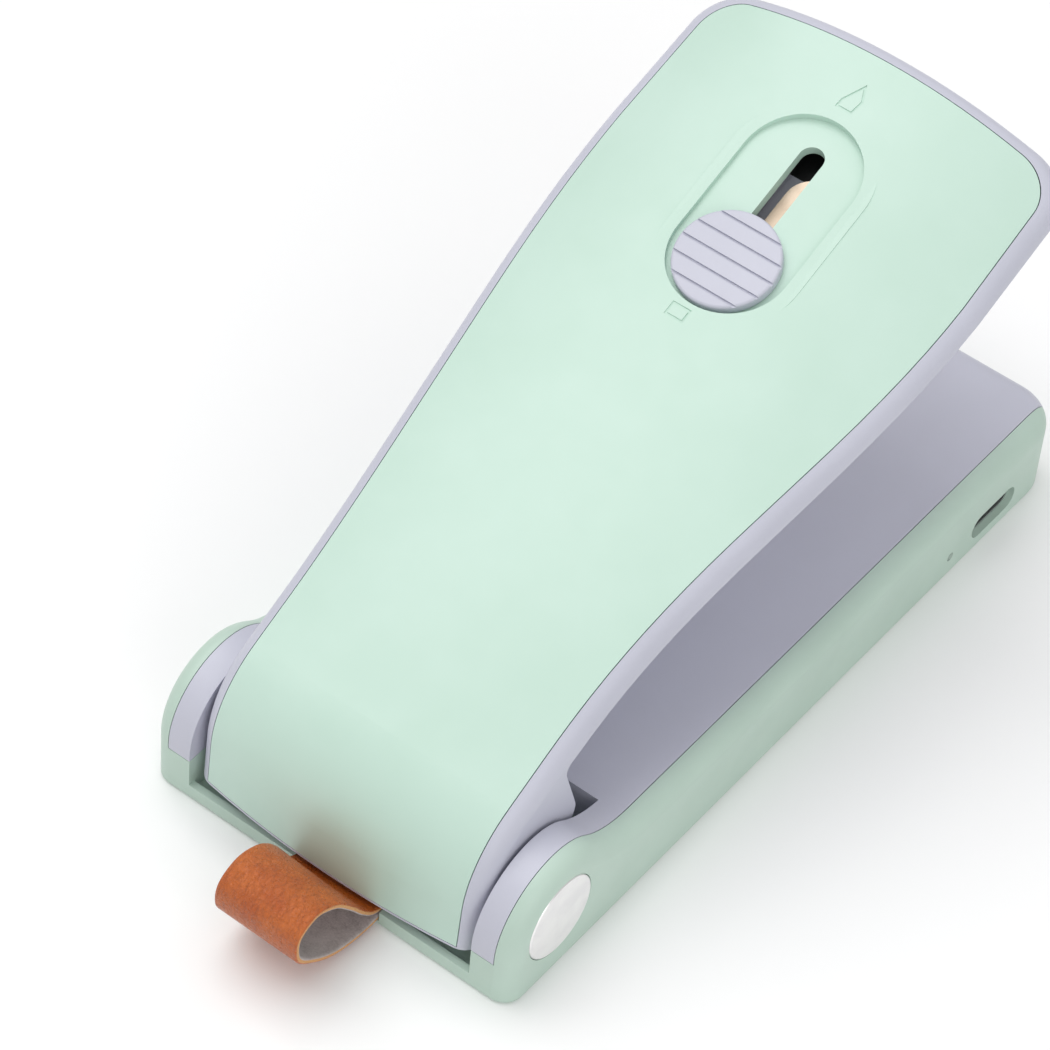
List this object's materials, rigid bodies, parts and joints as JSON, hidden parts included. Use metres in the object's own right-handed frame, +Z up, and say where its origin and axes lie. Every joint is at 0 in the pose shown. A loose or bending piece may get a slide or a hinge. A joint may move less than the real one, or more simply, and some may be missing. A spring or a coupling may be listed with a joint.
{
  "type": "handheld bag heat sealer",
  "caption": "Pocket bag heat sealer: sprung lever on ears over a long deck, slide cutter in the lever, charging port, leather loop.",
  "frame": {"origin": "centre of the flat underside of the base, on the surface it rests on", "axes": "+X towards the side with the USB socket, +Y from the hinge end to the nose, +Z up"},
  "size_m": [0.0522, 0.1242, 0.0597],
  "materials": {
    "mint_plastic": "satin moulded plastic, fine grain",
    "lavender_plastic": "satin moulded plastic, fine grain",
    "cover_plastic": "smooth satin plastic",
    "cap_metal": "fine brushed, anodised",
    "steel": "bright drawn steel",
    "track_metal": "bright strip steel",
    "blade_steel": "ground edge",
    "socket_steel": "deep drawn, dull",
    "black_plastic": "dull moulded plastic",
    "bush_plastic": "acetal",
    "lamp_plastic": "frosted light guide",
    "leather": "grained tan leather, suede inside",
    "silicone": "soft silicone",
    "carrier_plastic": "heat-proof moulding",
    "heater_metal": "flat resistance ribbon",
    "tape": "coated glass cloth",
    "brass": "turned brass",
    "board": "lacquered circuit board",
    "cell_foil": "foil pouch",
    "lead_red": "soft lead sheath",
    "lead_white": "soft lead sheath"
  },
  "bodies": {
    "base": {"base_shell": "mint_plastic", "base_deck": "lavender_plastic", "axle": "steel", "left_axle_cap": "cap_metal", "right_axle_cap": "cap_metal", "battery_cell": "cell_foil", "magnets": "steel", "circuit_board": "board", "board_chips": "black_plastic", "micro_switch": "black_plastic", "usb_socket": "socket_steel", "usb_tongue": "black_plastic", "indicator_lamp": "lamp_plastic", "heater_carrier": "carrier_plastic", "heater_strip": "heater_metal", "heater_tape": "tape", "heater_terminals": "brass", "battery_leads": "lead_red", "heater_leads": "lead_white", "base_screws": "steel", "board_screws": "steel", "strap_loop": "leather", "strap_clamp": "black_plastic", "strap_screws": "steel", "return_spring": "steel"},
    "lever": {"lever_shell": "lavender_plastic", "lever_cover": "cover_plastic", "hinge_bushes": "bush_plastic", "pad_holder": "black_plastic", "silicone_pad": "silicone", "lever_screws": "steel", "slide_track": "track_metal"},
    "slider": {"slide_button": "lavender_plastic", "slide_carriage": "black_plastic", "cutter_blade": "blade_steel", "blade_rivets": "brass"},
    "switch_plunger": {"switch_plunger": "lavender_plastic"}
  },
  "joints": [
    {"name": "lever_hinge", "type": "hinge", "parent": "base", "child": "lever", "pos_m": [0, -0.0462, 0.0087], "axis": [1, 0, 0], "range_deg": [-22.5, 0], "stiffness_Nm_per_rad": 0.35, "springref_deg": 20.05, "deforming": ["return_spring"]},
    {"name": "button_slide", "type": "slide", "parent": "lever", "child": "slider", "axis": [0, 0.9387, 0.3446], "range_m": [0, 0.0138]},
    {"name": "plunger_press", "type": "slide", "parent": "base", "child": "switch_plunger", "axis": [0, 0, -1], "range_m": [0, 0.0008], "stiffness_N_per_m": 800, "springref_m": -0.0006}
  ]
}
